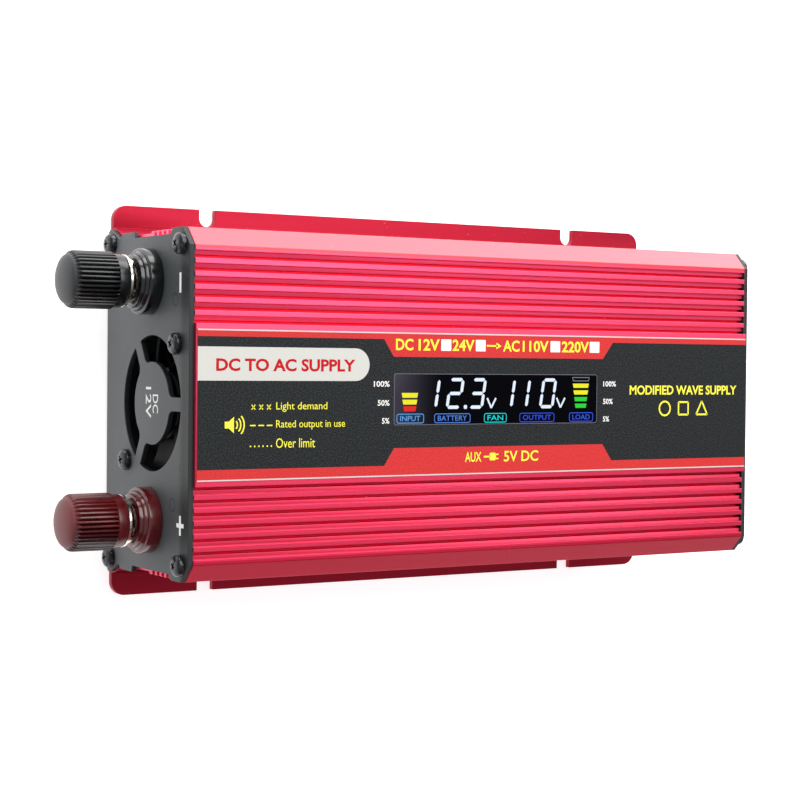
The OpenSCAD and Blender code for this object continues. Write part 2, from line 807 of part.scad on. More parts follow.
core_x = -14;
core_w = 36;
core_d = 14;
core_h = 34;
leg_w = 6;
module transformer_core() {
    color([0.2, 0.2, 0.21]) translate([core_x, 0, board_top + 3]) rotate([90, 0, 0])
        translate([0, 0, -core_d / 2]) linear_extrude(core_d) difference() {
            translate([-core_w / 2, 0]) square([core_w, core_h]);
            for (s = [-1, 1]) translate([s * (core_w / 4 + leg_w / 8) - 5.6, leg_w]) square([11.2, core_h - 2 * leg_w]);
        }
}

module transformer_winding() {
    leg = core_w / 2 + leg_w / 4 - 11.2;
    wide = leg + 20;
    color([0.85, 0.7, 0.2]) translate([core_x, 0, board_top + 3 + leg_w + 0.3]) difference() {
        linear_extrude(core_h - 2 * leg_w - 0.6) square([wide, core_d + 14], center = true);
        translate([0, 0, -1]) linear_extrude(core_h) square([leg + 0.6, core_d + 0.6], center = true);
    }
    color([0.85, 0.7, 0.2]) for (x = [-8, 8], y = [-12, 12]) translate([core_x + x, y, board_top])
        cylinder(h = 3 + leg_w + 0.4, r = 1);
}

module capacitor(r, h) {
    difference() {
        cylinder(h = h, r = r);
        translate([0, 0, 2.4]) difference() {
            cylinder(h = 1, r = r + 1);
            translate([0, 0, -1]) cylinder(h = 3, r = r - 0.5);
        }
    }
}

module input_capacitors() {
    color([0.15, 0.15, 0.4]) for (i = [0 : 2]) translate([18 - board_len / 2, -14 + 14 * i, board_top]) capacitor(6.5, 25);
}

module output_capacitor() {
    color([0.1, 0.1, 0.3]) translate([board_len / 2 - 36, -22, board_top]) capacitor(11, 32);
}

fet_n = 4;
fet_pitch = 22;
fet_x0 = -50;
strip_t = 0.5;
fet_t = 4.5;
module mosfets() {
    color([0.1, 0.1, 0.1]) both_sides() for (i = [0 : fet_n - 1]) translate([fet_x0 + i * fet_pitch, 0, 0]) {
        translate([-5, in_y - strip_t - fet_t, board_top + 6]) cube([10, fet_t, 10]);
        translate([-5, in_y - strip_t - 1.3, board_top + 15.9]) cube([10, 1.3, 6]);
        for (x = [-2.5, 0, 2.5]) {
            translate([x - 0.4, board_w / 2 - 1.4, board_top]) cube([0.8, 0.6, 7]);
            translate([x - 0.4, board_w / 2 - 1.4, board_top + 6.4]) cube([0.8, in_y - strip_t - 1 - board_w / 2 + 1.4, 0.6]);
        }
    }
}

module insulating_strips() {
    len = (fet_n - 1) * fet_pitch + 16;
    color([0.85, 0.85, 0.8]) both_sides() translate([fet_x0 - 8, in_y - strip_t, board_top + 2])
        cube([len, strip_t, 24]);
}

bar_t = 3;
module clamp_bars() {
    len = (fet_n - 1) * fet_pitch + 14;
    color([0.7, 0.7, 0.72]) both_sides() translate([fet_x0 - 7, in_y - strip_t - fet_t - bar_t, board_top + 8])
        cube([len, bar_t, 7]);
}

module control_board() {
    x = board_len / 2 - 58;
    color([0.1, 0.3, 0.5]) {
        translate([x, -16, board_top]) cube([board_t, 32, 22]);
        for (i = [0 : 3]) translate([x - 1.4, -12 + i * 7, board_top + 6]) cube([1.5, 4, 6]);
    }
}

module output_choke() {
    x = board_len / 2 - 30;
    color([0.7, 0.4, 0.15]) translate([x, 16, board_top + 6.5]) difference() {
        rotate_extrude() translate([9, 0]) circle(r = 5, $fn = 32);
        translate([0, 0, -20 - 4.5]) cube([60, 60, 40], center = true);
    }
    color([0.7, 0.4, 0.15]) for (y = [-9, 9]) translate([x, 16 + y, board_top]) cylinder(h = 2.5, r = 0.8);
}

module blade_fuses() {
    color([0.2, 0.6, 0.25]) for (y = [-1, 1]) translate([5.5 - board_len / 2, y * 10, board_top]) {
        translate([-2, -5, 4]) cube([3.4, 10, 11]);
        for (s = [-1, 1]) translate([-1, s * 3.4 - 1.2, 0]) cube([0.8, 2.4, 4.1]);
    }
}

module buzzer() {
    color([0.1, 0.1, 0.1]) translate([board_len / 2 - 18, -2, board_top]) difference() {
        cylinder(h = 9, r = 6);
        translate([0, 0, 6]) cylinder(h = 5, r = 1);
    }
}

top_shell();
bottom_plate();
dc_end_plate();
ac_end_plate();
dc_end_screws();
ac_end_screws();
label_sheet();
display_window();
display_module();
display_board();
display_ribbon();
negative_base();
negative_stud();
negative_washer();
negative_knob();
negative_insulator();
negative_nut();
negative_terminal();
negative_cable();
positive_base();
positive_stud();
positive_washer();
positive_knob();
positive_insulator();
positive_nut();
positive_terminal();
positive_cable();
fan_frame();
fan_rotor();
fan_stator();
fan_bearing();
fan_screws();
fan_nuts();
fan_lead();
ac_socket_face();
ac_socket_body();
ac_contacts();
ac_leads();
usb_shell();
usb_tongue();
usb_board();
switch_frame();
switch_rocker();
switch_tabs();
power_led();
fault_led();
main_board();
board_standoffs();
board_screws();
transformer_core();
transformer_winding();
input_capacitors();
output_capacitor();
mosfets();
insulating_strips();
clamp_bars();
control_board();
output_choke();
blade_fuses();
buzzer();
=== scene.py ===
"""A DC to AC power inverter in a ribbed red extrusion, with a printed label, a lit display and two posts."""
import json
import math

import bmesh
import bpy
from mathutils import Matrix, Vector


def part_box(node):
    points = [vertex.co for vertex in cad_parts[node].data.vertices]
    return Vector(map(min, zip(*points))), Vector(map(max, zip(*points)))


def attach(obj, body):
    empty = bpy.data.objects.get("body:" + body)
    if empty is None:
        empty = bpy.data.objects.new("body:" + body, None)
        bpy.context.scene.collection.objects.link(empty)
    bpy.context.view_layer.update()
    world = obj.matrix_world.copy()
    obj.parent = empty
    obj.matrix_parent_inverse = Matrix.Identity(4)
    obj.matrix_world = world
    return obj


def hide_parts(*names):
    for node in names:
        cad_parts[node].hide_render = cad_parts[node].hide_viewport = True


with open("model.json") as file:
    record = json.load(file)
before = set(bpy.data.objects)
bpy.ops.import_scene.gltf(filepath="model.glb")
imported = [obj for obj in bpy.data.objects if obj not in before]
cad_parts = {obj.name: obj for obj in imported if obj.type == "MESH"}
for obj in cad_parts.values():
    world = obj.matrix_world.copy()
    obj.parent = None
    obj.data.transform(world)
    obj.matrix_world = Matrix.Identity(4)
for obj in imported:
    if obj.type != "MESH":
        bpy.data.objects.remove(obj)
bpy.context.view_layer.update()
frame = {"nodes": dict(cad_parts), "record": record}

# ---- Table and lamps ----
# The inverter stands on a white table under a broad soft lamp. A lower lamp lights it from behind, a dark
# red card shades its near side, and the room is pale. The table is as bright as paper, so it throws light
# back up at the end plate.
scene = bpy.context.scene
scene.view_settings.view_transform = "Standard"
mm = 0.001


class Wire:
    """One output of a material's node. Arithmetic on it adds the Math nodes."""

    def __init__(self, tree, output):
        self.tree = tree
        self.output = output

    def node(self, kind, settings=None, inputs=None, output=0):
        made = self.tree.nodes.new("ShaderNode" + kind)
        for name, value in (settings or {}).items():
            setattr(made, name, value)
        for name, value in (inputs or {}).items():
            if isinstance(value, Wire):
                self.tree.links.new(value.output, made.inputs[name])
            else:
                made.inputs[name].default_value = value
        return Wire(self.tree, made.outputs[output])

    def maths(self, operation, first, second=0.0):
        return self.node("Math", {"operation": operation}, {0: first, 1: second})

    def __add__(self, other):
        return self.maths("ADD", self, other)

    def __sub__(self, other):
        return self.maths("SUBTRACT", self, other)

    def __rsub__(self, other):
        return self.maths("SUBTRACT", other, self)

    def __mul__(self, other):
        return self.maths("MULTIPLY", self, other)

    def __gt__(self, other):
        return self.maths("GREATER_THAN", self, other)

    def __lt__(self, other):
        return self.maths("LESS_THAN", self, other)

    def __abs__(self):
        return self.maths("ABSOLUTE", self)

    def axis(self, number):
        """The distance along X, Y or Z, numbered 0 to 2, where this is a place."""
        return self.node("SeparateXYZ", None, {0: self}, number)

    def above(self, low, high):
        """0 up to low, 1 from high, and a soft step between."""
        return self.node("MapRange", {"interpolation_type": "SMOOTHSTEP"}, {0: self, 1: low, 2: high})

    def noise(self, scale, detail=2.0, stretch=(1, 1, 1)):
        """Noise over these coordinates; scale is in lumps a metre, drawn out by stretch."""
        where = self.node("VectorMath", {"operation": "MULTIPLY"}, {0: self, 1: stretch})
        return where.node("TexNoise", None, {"Vector": where, "Scale": scale, "Detail": detail})

    def blend(self, first, second):
        """The first colour where this is 0 and the second where it is 1."""
        return self.node("Mix", {"data_type": "RGBA"}, {0: self, 6: first, 7: second}, 2)

    def bump(self, strength, depth):
        """A surface this much higher where the value is 1."""
        return self.node("Bump", None, {"Strength": strength, "Distance": depth, "Height": self})


def paint(red, green, blue):
    """A linear colour from the 0 to 255 numbers of a colour chart."""
    parts = [c / 255 for c in (red, green, blue)]
    return (*[c / 12.92 if c <= 0.04045 else ((c + 0.055) / 1.055) ** 2.4 for c in parts], 1.0)


def finish(name, **sockets):
    """A new material with these sockets set. Returns it, its shader and its Object coordinates."""
    material = bpy.data.materials.new(name)
    material.use_nodes = True
    tree = material.node_tree
    shader = next(n for n in tree.nodes if n.type == "BSDF_PRINCIPLED")
    where = Wire(tree, tree.nodes.new("ShaderNodeTexCoord").outputs["Object"])
    wire(shader, where, **sockets)
    return material, shader, where


def wire(shader, where, **sockets):
    """Sets or links the shader's sockets, named with _ for a space."""
    for name, value in sockets.items():
        socket = shader.inputs[name.replace("_", " ")]
        if isinstance(value, Wire):
            where.tree.links.new(value.output, socket)
        else:
            socket.default_value = value


def lamp(name, place, aim, width, height, power):
    data = bpy.data.lights.new(name, "AREA")
    data.shape = "RECTANGLE"
    data.size = width
    data.size_y = height
    data.energy = power
    made = bpy.data.objects.new(name, data)
    made.location = place
    made.rotation_euler = (Vector(aim) - Vector(place)).to_track_quat("-Z", "Y").to_euler()
    made.visible_camera = False
    scene.collection.objects.link(made)


def flag(name, place, aim, width, height):
    """A dark card that keeps light off one side and isn't seen itself."""
    card = bmesh.new()
    bmesh.ops.create_grid(card, x_segments=1, y_segments=1, size=0.5)
    bmesh.ops.scale(card, verts=card.verts, vec=(width, height, 1))
    mesh = bpy.data.meshes.new(name)
    card.to_mesh(mesh)
    card.free()
    made = bpy.data.objects.new(name, mesh)
    made.location = place
    made.rotation_euler = (Vector(aim) - Vector(place)).to_track_quat("-Z", "Y").to_euler()
    made.visible_camera = False
    made.data.materials.append(finish("flag_cloth", Base_Color=(0.16, 0.02, 0.045, 1), Roughness=0.9)[0])
    scene.collection.objects.link(made)


flag("side_flag", (0.35, -0.75, 0.36), (0, 0, 0.04), 1.8, 0.8)
lamp("overhead_lamp", (0.24, 0.58, 1.0), (0, 0, 0.03), 1.3, 0.9, 14.5)
lamp("back_card", (0.3, 0.8, 0.18), (0, 0, 0.04), 1.3, 0.4, 8.5)

world = bpy.data.worlds.new("room")
world.use_nodes = True
world.node_tree.nodes["Background"].inputs["Color"].default_value = (0.96, 0.98, 1.0, 1.0)
world.node_tree.nodes["Background"].inputs["Strength"].default_value = 0.5
scene.world = world

table_edges = bmesh.new()
bmesh.ops.create_grid(table_edges, x_segments=1, y_segments=1, size=3.0)
bmesh.ops.translate(table_edges, verts=table_edges.verts, vec=(0, 0, -0.3 * mm))
table_mesh = bpy.data.meshes.new("table")
table_edges.to_mesh(table_mesh)
table = bpy.data.objects.new("table", table_mesh)
scene.collection.objects.link(table)
table_white, table_shader, table_where = finish("table_white", Base_Color=(0.8, 0.8, 0.8, 1), Roughness=0.7)
wire(table_shader, table_where, Emission_Color=(1, 1, 1, 1), Emission_Strength=0.72)
table_mesh.materials.append(table_white)

camera = bpy.data.objects.new("camera", bpy.data.cameras.new("camera"))
camera.data.lens = 84.93
camera.location = (-0.3076, 0.0116, 0.4999)
camera.rotation_euler = [math.radians(a) for a in (-1.462, -31.817, 0.611)]
scene.collection.objects.link(camera)
scene.camera = camera

# ---- Extruded shell ----
# One length of aluminium extrusion, ribbed on its roof and side walls, with a flange along each foot. It is
# anodised red. Its edges are broken by tumbling, and the die leaves faint lines along it.
def merged(node):
    """A bmesh copy of a node with its loose triangles joined and its flat stretches made one face."""
    made = bmesh.new()
    made.from_mesh(frame["nodes"][node].data)
    bmesh.ops.remove_doubles(made, verts=made.verts, dist=1e-6)
    bmesh.ops.dissolve_limit(made, angle_limit=math.radians(0.5), verts=made.verts, edges=made.edges)
    return made


def piece(name, made, body, slot, material, replaces=(), smooth=35, rounding=0):
    """Turns a bmesh into a piece that rides on a body, with its sharp edges rounded over this many mm."""
    mesh = bpy.data.meshes.new(name)
    made.to_mesh(mesh)
    made.free()
    mesh.shade_smooth()
    mesh.set_sharp_from_angle(angle=math.radians(smooth))
    mesh.materials.append(material)
    item = bpy.data.objects.new(name, mesh)
    scene.collection.objects.link(item)
    if rounding:
        edge = item.modifiers.new("edge", "BEVEL")
        edge.width = rounding * mm
        edge.segments = 2
        edge.limit_method = "ANGLE"
        edge.angle_limit = math.radians(smooth)
        edge.harden_normals = True
        edge.loop_slide = False
    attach(item, body)
    if replaces:
        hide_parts(*replaces)
    return item


ROOF_HALF = 41
CHAMFER_FOOT = 50.7
anodised, shader, where = finish("red_anodised", Metallic=0.8, Coat_Roughness=0.28)
die_lines = where.noise(900, 3, (0.012, 1, 1))
blotches = where.noise(28, 3)
specks = where.noise(2300, 1) > 0.81
height = where.axis(2)
# Painted shade: below 12 mm the shell is painted darker and has no coat, the shade on the flanges beneath the
# side walls.
low = 1 - height.above(2 * mm, 12 * mm)
groove_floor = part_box("top_shell")[1].z - 1.8 * mm
side = where.axis(1)
roof = abs(side) < ROOF_HALF * mm
# Painted shade: on the roof, what lies deeper than the groove floors is painted darker and uncoated, the shade
# in the creases.
deep = roof * (height > 40 * mm) * (1 - height.above(groove_floor - 0.9 * mm, groove_floor - 0.1 * mm))
red = (die_lines * 0.7 + blotches * 0.3).blend(paint(238, 46, 84), paint(252, 76, 122))
# Painted shade: towards −Y the red is painted darker, and given less coat, on the side away from the lamps.
red = ((1 - side.above(-40 * mm, 30 * mm)) * 0.55).blend(red, paint(186, 20, 50))
# Painted shade: the chamfers take lit and shaded copies of one red, darker and less coated on the −Y side,
# away from the lamps.
edge_band = (1 - roof) * height.above((CHAMFER_FOOT - 0.4) * mm, CHAMFER_FOOT * mm)
chamfer_red_painted_shade = (side > 0).blend(paint(194, 26, 58), paint(226, 62, 74))
red = edge_band.blend(low.blend(red, paint(152, 18, 42)), chamfer_red_painted_shade)
red = deep.blend(red, paint(212, 10, 44))
coated = (1 - deep) * (1 - low) * (1 - edge_band * (side < 0) * 0.8)
wire(shader, where, Coat_Weight=coated * (side.above(-40 * mm, 30 * mm) * 0.2 + 0.28))
wire(shader, where, Base_Color=specks.blend(red, paint(252, 150, 170)))
wire(shader, where, Roughness=die_lines * 0.14 + 0.3)
wire(shader, where, Normal=(die_lines + where.noise(1600, 2) * 0.6).bump(0.25, 0.05 * mm))
piece("shell", merged("top_shell"), "case", "shell", anodised, ["top_shell"], 25, 0.14)
piece("underside", merged("bottom_plate"), "case", "base", anodised, ["bottom_plate"], 25, 0.12)

# ---- End plates ----
# Punched steel plates in a fine grey powder coat, screwed to the ends of the extrusion.
# The punched edges are darker than the faces. Pressed-in studs raise four faint rings, outlined in painted
# shade.
PLATE_FACE = 96
DC_STUDS = [(27.6, 46.6, 1.8), (11.5, 50.2, 1.1), (-16.6, 50.6, 1.1), (-26.6, 45.5, 1.8)]
powder, shader, where = finish("grey_powder", Specular_IOR_Level=0.35)
orange_peel = where.noise(1500, 3)
end = abs(where.axis(0))
cut_edge = 1 - end.above((PLATE_FACE - 0.4) * mm, (PLATE_FACE - 0.15) * mm)
grey = where.noise(60, 3).blend(paint(84, 87, 89), paint(94, 97, 99))
height = where.axis(2)
# Painted light and shade: the grey darkens from 8 mm up to 60 mm, as if the table lit the plate from below.
grey = height.above(8 * mm, 60 * mm).blend(grey, paint(62, 66, 68))
# Painted shade: a near-black band along the top of the plate, beside the shell.
grey = (height.above(48.5 * mm, 52 * mm) * 0.85).blend(grey, paint(16, 18, 19))
across = where.axis(1)
# Painted shade: each stud's pressed ring is outlined by a dark line on the outside of the DC plate.
stud_ring_painted_shade = height * 0
for y, z, radius in DC_STUDS:
    away = (across - y * mm) * (across - y * mm) + (height - z * mm) * (height - z * mm)
    ring = (away > ((radius - 0.34) * mm) ** 2) * (away < (radius * mm) ** 2)
    stud_ring_painted_shade = stud_ring_painted_shade + ring * (where.axis(0) < 0)
grey = (stud_ring_painted_shade * 0.85).blend(grey, paint(30, 33, 34))
wire(shader, where, Base_Color=cut_edge.blend(grey, paint(34, 38, 39)))
wire(shader, where, Roughness=orange_peel * 0.15 + 0.42)
wire(shader, where, Normal=orange_peel.bump(0.3, 0.05 * mm))
piece("dc_plate", merged("dc_end_plate"), "case", "end_plate", powder, ["dc_end_plate"], 25, 0.2)
piece("ac_plate", merged("ac_end_plate"), "case", "end_plate", powder, ["ac_end_plate"], 25, 0.2)

# ---- Screws ----
# Black pan head screws with a cross recess: four hold each end plate and two hold the fan.
HEAD_R = 2.9
HEAD_H = 2.2
black_zinc, shader, where = finish("black_zinc", Metallic=0.6, Coat_Weight=0.3, Coat_Roughness=0.15)
wear = where.noise(900, 3)
wire(shader, where, Base_Color=wear.above(0.5, 0.8).blend(paint(34, 36, 38), paint(92, 94, 96)))
wire(shader, where, Roughness=wear * 0.2 + 0.18)
wire(shader, where, Normal=wear.bump(0.15, 0.05 * mm))


def lathe(outline, steps=64):
    """Spins points of (distance along Z, radius), in mm, round the Z axis."""
    made = bmesh.new()
    rim = [made.verts.new((radius * mm, 0, along * mm)) for along, radius in outline]
    edges = [made.edges.new(pair) for pair in zip(rim, rim[1:])]
    bmesh.ops.spin(made, geom=rim + edges, cent=(0, 0, 0), axis=(0, 0, 1), dvec=(0, 0, 0),
                   angle=math.tau, steps=steps, use_merge=True)
    bmesh.ops.remove_doubles(made, verts=made.verts, dist=1e-7)
    bmesh.ops.recalc_face_normals(made, faces=made.faces)
    return made


def arc(x, y, radius, start, end, steps=6):
    """Points of (x, y) along an arc, from one angle to another in degrees."""
    turns = [math.radians(start + (end - start) * i / steps) for i in range(steps + 1)]
    return [(x + radius * math.cos(a), y + radius * math.sin(a)) for a in turns]


def cross_recess():
    """The tapered cross that a driver leaves room for, pointing down from the top of a head."""
    made = bmesh.new()
    for turn in (0, 90):
        bar = bmesh.ops.create_cube(made, size=1.0)["verts"]
        bmesh.ops.scale(made, verts=bar, vec=(3.4 * mm, 0.85 * mm, 2.6 * mm))
        deep = [v for v in bar if v.co.z < 0]
        bmesh.ops.scale(made, verts=deep, vec=(0.45, 0.6, 1))
        about = Matrix.Rotation(math.radians(turn + 20), 3, "Z")
        bmesh.ops.rotate(made, verts=bar, cent=(0, 0, 0), matrix=about)
    bmesh.ops.translate(made, verts=made.verts, vec=(0, 0, (HEAD_H + 0.25) * mm))
    return made


def cut(made, cutter):
    """Takes one closed shape from another and returns what is left."""
    items = []
    for source in (made, cutter):
        mesh = bpy.data.meshes.new("blank")
        source.to_mesh(mesh)
        source.free()
        items.append(bpy.data.objects.new("blank", mesh))
        scene.collection.objects.link(items[-1])
    tool = items[0].modifiers.new("cut", "BOOLEAN")
    tool.object = items[1]
    tool.solver = "EXACT"
    tool.use_self = True
    left = bmesh.new()
    left.from_object(items[0], bpy.context.evaluated_depsgraph_get())
    for item in items:
        bpy.data.objects.remove(item)
    return left


head = [(0, 0), (0, HEAD_R), (0.75, HEAD_R)]
head += [(0.75 + (HEAD_H - 0.75) * math.sin(math.radians(a)), HEAD_R * math.cos(math.radians(a)) ** 0.55)
         for a in range(10, 90, 10)]
head += [(HEAD_H, 0)]
screw = cut(lathe(head, 40), cross_recess())
screw_mesh = bpy.data.meshes.new("screw")
screw.to_mesh(screw_mesh)
screw.free()


def join(first, *others):
    """Adds other bmeshes to the first."""
    for other in others:
        mesh = bpy.data.meshes.new("joined")
        other.to_mesh(mesh)
        other.free()
        first.from_mesh(mesh)
        bpy.data.meshes.remove(mesh)
    return first


def screws(name, node, out, places, shank):
    """Screws along X, with their heads at (x, y, z) places in metres and shanks this long in mm."""
    made = bmesh.new()
    for number, place in enumerate(places):
        one = bmesh.new()
        thread = bmesh.ops.create_cone(one, cap_ends=True, segments=24, radius1=1.1 * mm, radius2=1.3 * mm,
                                       depth=shank * mm)["verts"]
        bmesh.ops.translate(one, verts=thread, vec=(0, 0, -shank * mm / 2))
        one.from_mesh(screw_mesh)
        turn = Matrix.Rotation(math.radians(90 * out), 4, "Y") @ Matrix.Rotation(number * 0.7, 4, "Z")
        bmesh.ops.transform(one, verts=one.verts, matrix=Matrix.Translation(place) @ turn)
        join(made, one)
    piece(name, made, "case", "screw_black", black_zinc, [node], 32)


half_w = 46.6 * mm
low_y, low_z = half_w - 2.5 * mm, 5 * mm
high_y, high_z = half_w - 4.4 * mm, 50.6 * mm
dc_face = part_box("dc_end_plate")[0].x
ac_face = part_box("ac_end_plate")[1].x
corners = [(side * y, z) for side in (-1, 1) for y, z in ((low_y, low_z), (high_y, high_z))]
screws("dc_screws", "dc_end_screws", -1, [(dc_face, y, z) for y, z in corners], 9)
screws("ac_screws", "ac_end_screws", 1, [(ac_face, y, z) for y, z in corners], 9)
fan_low, fan_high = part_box("fan_frame")
fan_y, fan_z = (fan_low.y + fan_high.y) / 2, (fan_low.z + fan_high.z) / 2
fan_hole = 16 * mm
screws("fan_bolts", "fan_screws", -1,
       [(dc_face, fan_y + s * fan_hole, fan_z + s * fan_hole) for s in (-1, 1)], 14.5)

# ---- Label ----
# A printed plastic overlay glued to the plateau: a red ground, a black field with a notch above and below the
# display, a cream rim and a cream pill at its DC end. Each colour is a film of ink on the one before.
INK = 0.012
label_low, label_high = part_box("label_sheet")
label_top = label_high.z / mm


def ink(name, colour, roughness=0.5, speckle=0.03):
    """A printed ink: nearly flat colour with the fine grain of the overlay."""
    material, shader, where = finish(name, Specular_IOR_Level=0.12)
    grain = where.noise(2600, 2)
    lighter = tuple(c + (1 - c) * speckle for c in colour[:3]) + (1.0,)
    wire(shader, where, Base_Color=grain.above(0.35, 0.75).blend(colour, lighter))
    wire(shader, where, Roughness=grain * 0.1 + roughness)
    wire(shader, where, Normal=where.noise(1200, 2).bump(0.12, 0.02 * mm))
    return material


def flat(shapes, layer):
    """Closed outlines of (x, y) points, in mm, filled at a layer of ink below the top of the label."""
    made = bmesh.new()
    for shape in shapes:
        rim = [made.verts.new((x * mm, y * mm, (label_top - layer * INK) * mm)) for x, y in shape]
        made.faces.new(rim)
    bmesh.ops.recalc_face_normals(made, faces=made.faces)
    for face in made.faces:
        if face.normal.z < 0:
            face.normal_flip()
    bmesh.ops.triangulate(made, faces=made.faces)
    return made


def box_shape(x0, x1, y0, y1, radius=0.0, steps=5):
    """A rectangle with round corners."""
    if not radius:
        return [(x0, y0), (x1, y0), (x1, y1), (x0, y1)]
    middles = [(x1 - radius, y1 - radius, 0), (x0 + radius, y1 - radius, 90),
               (x0 + radius, y0 + radius, 180), (x1 - radius, y0 + radius, 270)]
    return [point for x, y, start in middles for point in arc(x, y, radius, start, start + 90, steps)]


def sink(made, top, layers):
    """Lowers the top face of a piece by these layers of ink, to leave room for the print on it."""
    face = [v for v in made.verts if v.co.z > top - 1e-6]
    bmesh.ops.translate(made, verts=face, vec=(0, 0, -layers * INK * mm))


sheet = merged("label_sheet")
sink(sheet, label_high.z, 5)
label_red = ink("label_red", paint(204, 44, 44), 0.5, 0.03)
piece("label", sheet, "case", "label", label_red, ["label_sheet"], 30)

label_x = (label_high.x - label_low.x) / 2 / mm
label_y = (label_high.y - label_low.y) / 2 / mm
window_low, window_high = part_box("display_window")
wx0, wx1, wy0, wy1 = window_low.x / mm, window_high.x / mm, window_low.y / mm, window_high.y / mm


cream = ink("cream_ink", paint(206, 206, 199), 0.5, 0.0)
edge = 0.35
rims = [box_shape(-label_x, label_x, label_y - edge, label_y),
        box_shape(-label_x, label_x, -label_y, edge - label_y)]
pill = [(-label_x, 15.33), (-label_x, 6.43)] + arc(-46.75, 10.88, 4.45, -90, 90, 16)
piece("cream_print", flat(rims + [pill], 3), "case", "label", cream)

black_ink = ink("black_ink", paint(19, 24, 26), 0.5, 0.03)
field_top, field_bottom = 18.0, -16.9
notch_top, notch_bottom = 13.15, -12.05
left_end = [(-label_x, field_bottom), (-37.35, field_bottom), (-34.2, notch_bottom), (wx0, notch_bottom),
            (wx0, notch_top), (-34.5, notch_top), (-37.7, field_top), (-label_x, field_top)]
right_end = [(label_x, field_bottom), (41.7, field_bottom), (38.3, notch_bottom), (wx1, notch_bottom),
             (wx1, notch_top), (38.2, notch_top), (41.85, field_top), (label_x, field_top)]
middle = [box_shape(wx0, wx1, wy1, notch_top), box_shape(wx0, wx1, notch_bottom, wy0)]
piece("black_print", flat([left_end, right_end] + middle, 4), "case", "label", black_ink)


def lettering(rows, layer=2):
    """Words fitted to (words, x0, x1, y0, y1, boldness) boxes in mm, as one flat mesh on the label."""
    made = bmesh.new()
    for words, x0, x1, y0, y1, bold in rows:
        curve = bpy.data.curves.new("words", "FONT")
        curve.body = words
        curve.offset = bold
        curve.resolution_u = 3
        item = bpy.data.objects.new("words", curve)
        scene.collection.objects.link(item)
        letters = bmesh.new()
        drawn = item.evaluated_get(bpy.context.evaluated_depsgraph_get())
        letters.from_mesh(bpy.data.meshes.new_from_object(drawn))
        bpy.data.objects.remove(item)
        xs = [v.co.x for v in letters.verts]
        ys = [v.co.y for v in letters.verts]
        left, low, wide, tall = min(xs), min(ys), max(xs) - min(xs), max(ys) - min(ys)
        for v in letters.verts:
            x = x0 + (v.co.x - left) / wide * (x1 - x0)
            y = y0 + (v.co.y - low) / tall * (y1 - y0)
            v.co = (x * mm, y * mm, (label_top - layer * INK) * mm)
        join(made, letters)
    bmesh.ops.remove_doubles(made, verts=made.verts, dist=1e-6)
    return made


def facing_up(made):
    for face in made.faces:
        if face.normal.z < 0:
            face.normal_flip()
    return made


red_ink = ink("red_ink", paint(190, 18, 22), 0.5, 0.0)
title = facing_up(lettering([("DC TO AC SUPPLY", -88.9, -46.8, 8.93, 12.3, 0.032)]))
piece("pill_print", title, "case", "label", red_ink)

yellow = ink("yellow_ink", paint(243, 236, 72), 0.4, 0.0)
top_row = [("DC", -33.9, -28.2), ("12V", -26.5, -19.5), ("24V", -15.2, -7.75), ("AC", 2.1, 7.9),
           ("110V", 9.0, 18.2), ("220V", 23.0, 32.9)]
yellow_words = [(words, x0, x1, 14.95, 18.2, 0.024) for words, x0, x1 in top_row]
yellow_words += [("5V DC", 2.8, 14.9, -16.55, -13.45, 0.016), ("AUX", -10.6, -5.0, -16.4, -13.6, 0.016)]
yellow_words += [("MODIFIED WAVE SUPPLY", 48.4, 90.6, 2.54, 5.38, 0.026)]
legend = [("Light demand", -0.6, -55.5), ("Rated output in use", -5.4, -49.9), ("Over limit", -10.2, -59.2)]
yellow_words += [(words, -71.1, end, y - 1.25, y + 1.35, 0.002) for words, y, end in legend]


def stroke(x0, y0, x1, y1, wide):
    """A straight bar of ink from one point to another."""
    across = Vector((y0 - y1, x1 - x0)).normalized() * wide / 2
    return [(x0 + across.x, y0 + across.y), (x0 - across.x, y0 - across.y),
            (x1 - across.x, y1 - across.y), (x1 + across.x, y1 + across.y)]


def ring_part(x, y, radius, wide, start, end):
    """A bent bar of ink along an arc."""
    return arc(x, y, radius + wide / 2, start, end, 10) + arc(x, y, radius - wide / 2, end, start, 10)


signs = []
for i in range(3):
    x = -77.9 + i * 2.3
    signs += [stroke(x - 0.55, -1.2, x + 0.55, 0.1, 0.3), stroke(x - 0.55, 0.1, x + 0.55, -1.2, 0.3)]
    signs += [stroke(-78.9 + i * 2.5, -5.4, -77.2 + i * 2.5, -5.4, 0.34)]
signs += [arc(-78.7 + i * 1.25, -10.9, 0.24, 0, 330, 7) for i in range(6)]
signs += [[(-86.3, -6.1), (-85.1, -6.1), (-83.6, -7.4), (-83.6, -3.0), (-85.1, -4.3), (-86.3, -4.3)]]
signs += [ring_part(-84.1, -5.2, radius, 0.42, -42, 42) for radius in (1.5, 2.5, 3.5)]
signs += [ring_part(62.0, -1.6, 2.1, 0.55, start, start + 90) for start in (0, 90, 180, 270)]
square = [(67.4, -3.5), (71.2, -3.5), (71.2, 0.3), (67.4, 0.3)]
triangle = [(74.4, -3.5), (78.8, -3.5), (76.6, 0.6)]
for shape in (square, triangle):
    signs += [stroke(*shape[i - 1], *shape[i], 0.55) for i in range(len(shape))]
signs += [stroke(-3.5, 16.55, 0.3, 16.55, 0.5), [(-0.2, 17.5), (1.6, 16.55), (-0.2, 15.6)]]
plug = [stroke(-4.2, -15.0, -2.0, -15.0, 0.5), box_shape(-2.2, 0.0, -16.1, -13.9, 0.5),
        stroke(-0.1, -14.4, 0.9, -14.4, 0.4), stroke(-0.1, -15.6, 0.9, -15.6, 0.4)]
yellow_print = join(facing_up(lettering(yellow_words)), flat(signs + plug, 2))
piece("yellow_print", yellow_print, "case", "label", yellow)

